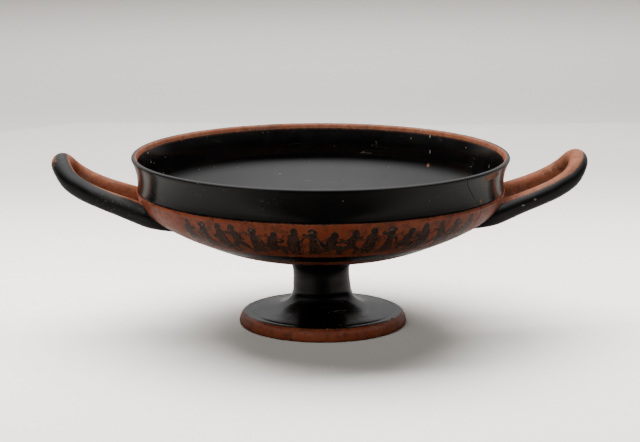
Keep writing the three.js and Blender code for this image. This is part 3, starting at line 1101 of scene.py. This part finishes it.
streaks = noise(vector("MULTIPLY", lay_place, (1.0, 0.12, 0.12)), 1.8, 4.0, 0.6)
thin_slip = plus(times(streaks, 0.6), times(noise(place, 22.0, 3.0), 0.6))
thin_edge = blend_numbers(washed, THIN_EDGE, THIN_EDGE_WASHED)
faded = times(painted_band, between(noise(place, 4.5, 3.0, 0.6), 0.35, 0.62, 0.40, 1.0))
added = times(between(stored("purple"), -0.1, 0.15), between(noise(place, 1.7, 2.0), 0.42, 0.6))
chalk = times(between(stored("white"), -0.1, 0.15), between(noise(place, 1.2, 2.0), 0.40, 0.56))
slip_colour = coated(SLIP_DARK,
                     (between(thin_slip, 0.62, 1.05, 0.0, 0.8), SLIP_BROWN),
                     (between(figure_depth, thin_edge, 0.0, 0.0, 0.9), SLIP_THIN),
                     (faded, FADED),
                     # pale grey flecks in worn patches: partly grit, partly painted sheen
                     (times(grit_and_sheen, 0.8), GRIT_AND_SHEEN),
                     (times(added, 0.85), PURPLE),
                     (times(chalk, 0.75), CREAM),
                     (times(scratches, 0.35), LIME))

pores = between(cells(place, 1.3), 0.20, 0.08, 0.0, 0.6)
grime = between(noise(place, 9.0, 5.0, 0.7), 0.48, 0.72, 0.0, 0.6)
deep_clay = colour_mix(washed, CLAY_DEEP, CLAY_RED)
clay_colour = coated(colour_mix(washed, CLAY, CLAY_WASHED),
                     (between(noise(place, 17.0, 3.0), 0.35, 0.70), deep_clay),
                     (between(noise(place, 5.0, 4.0, 0.65), 0.52, 0.78, 0.0, 0.45), CLAY_PALE),
                     (times(lost, 0.6), CLAY_PALE),
                     (between(noise(place, 3.6, 5.0, 0.7), 0.46, 0.68, 0.0, 0.7), STAIN),
                     (larger(pores, grime), SOIL))

slip_left = times(slip, minus(1.0, larger(lost, incised)), clamp=True)
surface = coated(clay_colour, (slip_left, slip_colour), (times(specks, 0.8), LIME),
                 (times(crack_line, 0.95), CRACK_DARK))
feed(shader.inputs["Base Color"], surface)
print("slip, clay, soil, lime, purple and cream mixed")

# %% [markdown]
# ## Gloss
# The slip is what shines. Handling has dulled it on the handles, and wear where it faded. Clay,
# lime and the floor of a chip are matt.

# %% Roughness
DULLED, BARE_DULLED, LIME_ROUGHNESS, CHIP_ROUGHNESS = 0.15, 0.16, 0.8, 0.62
slip_roughness = between(noise(place, 11.0, 4.0, 0.6), 0.35, 0.75, 0.15, 0.27)
slip_roughness = plus(slip_roughness, times(handled, 0.16))
slip_roughness = plus(slip_roughness, times(plus(faded, worn_and_sheen), DULLED))
clay_roughness = between(noise(place, 6.0, 4.0, 0.6), 0.35, 0.75, 0.30, 0.46)
clay_roughness = plus(clay_roughness, times(minus(1.0, washed), BARE_DULLED))
roughness = blend_numbers(slip_left, clay_roughness, slip_roughness)
roughness = blend_numbers(larger(specks, chalk), roughness, LIME_ROUGHNESS)
roughness = blend_numbers(larger(lost, crack_line), roughness, CHIP_ROUGHNESS)
feed(shader.inputs["Roughness"], roughness)
shader.inputs["IOR"].default_value = 1.5
print("gloss set")

# %% [markdown]
# ## Relief too fine for geometry
# The slip is a film a few hundredths of a millimetre thick. Chips and incision drop below it, wheel
# lines run round the pot, and the surface has the faint ripple of hand polishing. Depths are in
# millimetres.

# %% Relief
RIPPLE, WHEEL, SLIP_FILM, CRACK_DEPTH, PORE_DEPTH = 0.035, 0.012, 0.03, 0.12, 0.02
CLAY_GRAIN, SLIP_GRAIN = 0.022, 0.005
wheel_lines = noise(vector("MULTIPLY", lay_place, (1.0, 0.03, 0.03)), 1.1, 2.0)
grain_depth = blend_numbers(slip_left, CLAY_GRAIN, SLIP_GRAIN)
height = times(noise(place, 0.55, 2.0), grain_depth)
for field, depth in [(noise(place, 6.0, 2.0), RIPPLE), (wheel_lines, WHEEL), (slip_left, SLIP_FILM),
                     (crack_line, -CRACK_DEPTH), (pores, -PORE_DEPTH)]:
    height = plus(height, times(field, depth))
relief = tree.nodes.new("ShaderNodeBump")
relief.inputs["Distance"].default_value = MM
feed(relief.inputs["Height"], height)
feed(shader.inputs["Normal"], relief.outputs["Normal"])
kylix_mesh.materials.append(slip_and_clay)
print(len(tree.nodes), "nodes in the material")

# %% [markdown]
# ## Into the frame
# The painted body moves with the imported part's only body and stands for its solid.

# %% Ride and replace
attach(kylix, "root")
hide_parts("kylix")
print("kylix_painted rides on root")

# %% [markdown]
# ## A paper sweep
# The cup stands on a wide sheet of pale paper, which runs far back and curves up behind. Bright
# paper drowns black gloss in its glow, so the sheet is doubled. The camera sees a copy with painted
# light: brighter than any paper under these lamps, with a painted pool of light near the cup, painted
# shade further back and painted light again far away. The cup gathers its light from a grey twin,
# and a dark strip of painted shade lies on the twin in front of the cup.

# %% Sweep
SWEEP_WIDTH, SWEEP_FRONT, SWEEP_BACK = 12.0, -7.0, 2.0
CURVE_RADIUS, SWEEP_HEIGHT = 0.7, 2.6
FLAT_STEPS, CURVE_STEPS, ACROSS = 37, 20, 15
# painted light on the camera's sheet: its brightness near the cup, further back and far away, and the
# spans of y where it falls and rises
PAINTED_LIGHT_NEAR, PAINTED_LIGHT_MIDDLE, PAINTED_LIGHT_FAR = 2.8, 1.4, 5.4
PAINTED_FALLOFF, PAINTED_FAR_RISE = (0.05, 0.45), (0.65, 1.60)
# the twin's grey, and a dark strip of painted shade on it in front of the cup: its shade, where it ends,
# where it is full and where clear, and how much it narrows across x
TWIN_SHADE, PAINTED_FRONT_SHADE = 0.42, 0.05
FRONT_SHADE_END, FRONT_SHADE_CORE, FRONT_SHADE_CLEAR, FRONT_SHADE_PINCH = 0.35, 0.16, 0.36, 1.6
PAPER_WARMTH = np.array([1.0, 0.95, 0.885])


def sweep_surface():
    """A profile in (y, z), flat, then a quarter circle, then upright, carried along X."""
    flat = np.stack([np.linspace(SWEEP_FRONT, SWEEP_BACK, FLAT_STEPS), np.zeros(FLAT_STEPS)], axis=1)
    a = np.linspace(0, np.pi / 2, CURVE_STEPS)[1:]
    curve = np.stack([SWEEP_BACK + CURVE_RADIUS * np.sin(a), CURVE_RADIUS * (1 - np.cos(a))], axis=1)
    profile = np.vstack([flat, curve, [SWEEP_BACK + CURVE_RADIUS, SWEEP_HEIGHT]])
    x = np.linspace(-SWEEP_WIDTH / 2, SWEEP_WIDTH / 2, ACROSS)
    points = np.column_stack([np.tile(x, len(profile)), np.repeat(profile, ACROSS, axis=0)])
    i, j = np.meshgrid(np.arange(len(profile) - 1), np.arange(ACROSS - 1), indexing="ij")
    k = (i * ACROSS + j).ravel()
    return points / MM, [np.stack([k, k + 1, k + ACROSS + 1, k + ACROSS], axis=1)]


def new_tree(name, shader_kind):
    """A material with one shader, linked to its output. Returns the material and the shader."""
    global tree
    made = bpy.data.materials.new(name)
    made.use_nodes = True
    tree = made.node_tree
    tree.nodes.remove(tree.nodes["Principled BSDF"])
    only = tree.nodes.new(shader_kind)
    feed(tree.nodes["Material Output"].inputs["Surface"], only.outputs[0])
    return made, only


def object_axes():
    split = tree.nodes.new("ShaderNodeSeparateXYZ")
    feed(split.inputs[0], tree.nodes.new("ShaderNodeTexCoord").outputs["Object"])
    return split.outputs


def paper_with_painted_light():
    """The camera's sheet with painted light: a painted pool of light near the cup, painted shade further
    back, and painted light again far away.
    """
    made, matt = new_tree("paper_with_painted_light", "ShaderNodeBsdfDiffuse")
    _, y, _ = object_axes()
    graded = coated(tuple(PAINTED_LIGHT_NEAR * PAPER_WARMTH),
                    (between(y, *PAINTED_FALLOFF), tuple(PAINTED_LIGHT_MIDDLE * PAPER_WARMTH)),
                    (between(y, *PAINTED_FAR_RISE), tuple(PAINTED_LIGHT_FAR * PAPER_WARMTH)))
    feed(matt.inputs["Color"], graded)
    return made


def twin_paper_with_painted_shade():
    """Grey, with a dark strip of painted shade where the distance to a line that runs forward from the
    strip's end is small. The distance is the length of (pinch times x, how far y is behind that end)."""
    made, matt = new_tree("twin_paper_with_painted_shade", "ShaderNodeBsdfDiffuse")
    x, y, _ = object_axes()
    across = times(x, FRONT_SHADE_PINCH)
    behind = larger(plus(y, FRONT_SHADE_END), 0.0)
    gap = calc("SQRT", plus(times(across, across), times(behind, behind)))
    feed(matt.inputs["Color"], colour_mix(between(gap, FRONT_SHADE_CORE, FRONT_SHADE_CLEAR),
                                          tuple(PAINTED_FRONT_SHADE * PAPER_WARMTH),
                                          tuple(TWIN_SHADE * PAPER_WARMTH)))
    return made


def scenery(name, points, faces, material, seen_by_camera, seen_by_light):
    """A piece of the studio. Light is what bounces off matt surfaces. Gloss sees whatever the camera
    doesn't, and no piece throws a shadow."""
    mesh = mesh_from(name, points, faces)
    mesh.polygons.foreach_set("use_smooth", np.ones(len(mesh.polygons), bool))
    mesh.materials.append(material)
    made = add_object(name, mesh)
    made.visible_camera = seen_by_camera
    made.visible_diffuse = seen_by_light
    made.visible_glossy = not seen_by_camera
    made.visible_shadow = False
    return made


scenery("paper_sweep", *sweep_surface(), paper_with_painted_light(), seen_by_camera=True, seen_by_light=False)
scenery("grey_twin", *sweep_surface(), twin_paper_with_painted_shade(), seen_by_camera=False, seen_by_light=True)
# the camera's sheet is painted this many times brighter than its twin near the cup
print("near the cup the print is", round(PAINTED_LIGHT_NEAR / TWIN_SHADE, 1), "times its twin's brightness")

# %% [markdown]
# ## A tent for the gloss
# Glossy black shows its surroundings more than itself. So the cup stands in a tent of white cloth,
# which only gloss can see, and which is smaller than the sweep, so that no paper hides it. It glows
# most at its top, is grey behind, and is dark low down in front. The bowl's floor mirrors the
# bright top, the foot mirrors the grey back, and the lip stays black.

# %% Tent
TENT_RADIUS = 1.9
TENT_GREY, TENT_TOP, TENT_POWER = 0.38, 2.9, 2.4
TENT_RINGS, TENT_SIDES = 24, 64
OPEN_FRONT, BACK_RISES = (-0.1, 0.45), (0.35, 0.80)


def tent_surface():
    """A half sphere of rings, radius times (cos e cos a, cos e sin a, sin e) at heights e, closed by
    a fan of triangles at its top."""
    e = np.arange(TENT_RINGS) / TENT_RINGS * np.pi / 2
    rings = [ring_points(np.cos(height), np.sin(height), TENT_SIDES) for height in e]
    points = TENT_RADIUS * np.vstack([*rings, [0, 0, 1]])
    last = (TENT_RINGS - 1) * TENT_SIDES
    quads = [ring_faces(low, TENT_SIDES, low + TENT_SIDES, TENT_SIDES)[0]
             for low in range(0, last, TENT_SIDES)]
    k = np.arange(TENT_SIDES)
    n = (k + 1) % TENT_SIDES
    top = np.stack([last + k, last + n, np.full_like(k, len(points) - 1)], axis=1)
    return points / MM, [faces[:, ::-1] for faces in (*quads, top)]


def tent_cloth():
    """Glow = grey behind + top * height to a power * front shade. Height is the sine of elevation."""
    made, glow = new_tree("tent_cloth", "ShaderNodeEmission")
    _, y, z = object_axes()
    up = calc("DIVIDE", z, TENT_RADIUS)
    back = calc("DIVIDE", y, TENT_RADIUS)
    front_shade = between(plus(up, times(back, 0.5)), *OPEN_FRONT)
    top = times(times(calc("POWER", up, TENT_POWER), TENT_TOP), front_shade)
    feed(glow.inputs["Strength"], plus(top, times(between(back, *BACK_RISES), TENT_GREY)))
    return made


scenery("light_tent", *tent_surface(), tent_cloth(), seen_by_camera=False, seen_by_light=False)
print("tent glows", TENT_GREY, "low behind and", TENT_TOP, "at the top")

# %% [markdown]
# ## Light
# One soft box overhead and a little behind lights everything and makes the soft shadow. A weaker
# one fills from the front. Neither is mirrored, since the tent is. Places are in metres and powers
# in watts.

# %% Lights
WORLD_GREY = 0.05


def soft_box(name, place_at, aim, width, height, power):
    """An area light that faces a point and isn't seen in gloss."""
    data = bpy.data.lights.new(name, "AREA")
    data.shape = "RECTANGLE"
    data.size = width
    data.size_y = height
    data.energy = power
    light = bpy.data.objects.new(name, data)
    light.location = place_at
    away = np.array(place_at) - np.array(aim)
    turn = np.arctan2(away[0], -away[1])
    tilt = np.arctan2(np.hypot(away[0], away[1]), away[2])
    light.rotation_euler = (tilt, 0, turn)
    light.visible_camera = False
    light.visible_glossy = False
    bpy.context.collection.objects.link(light)


soft_box("overhead", (-0.07, 0.29, 0.78), aim=(0, 0, 0), width=1.05, height=0.75, power=14)
soft_box("front", (-0.4, -1.6, 0.95), aim=(0, 0, 0.05), width=1.4, height=0.8, power=5.5)
world = bpy.data.worlds.new("dim_room")
bpy.context.scene.world = world
world.use_nodes = True
world.node_tree.nodes["Background"].inputs["Color"].default_value = (*[WORLD_GREY] * 3, 1)
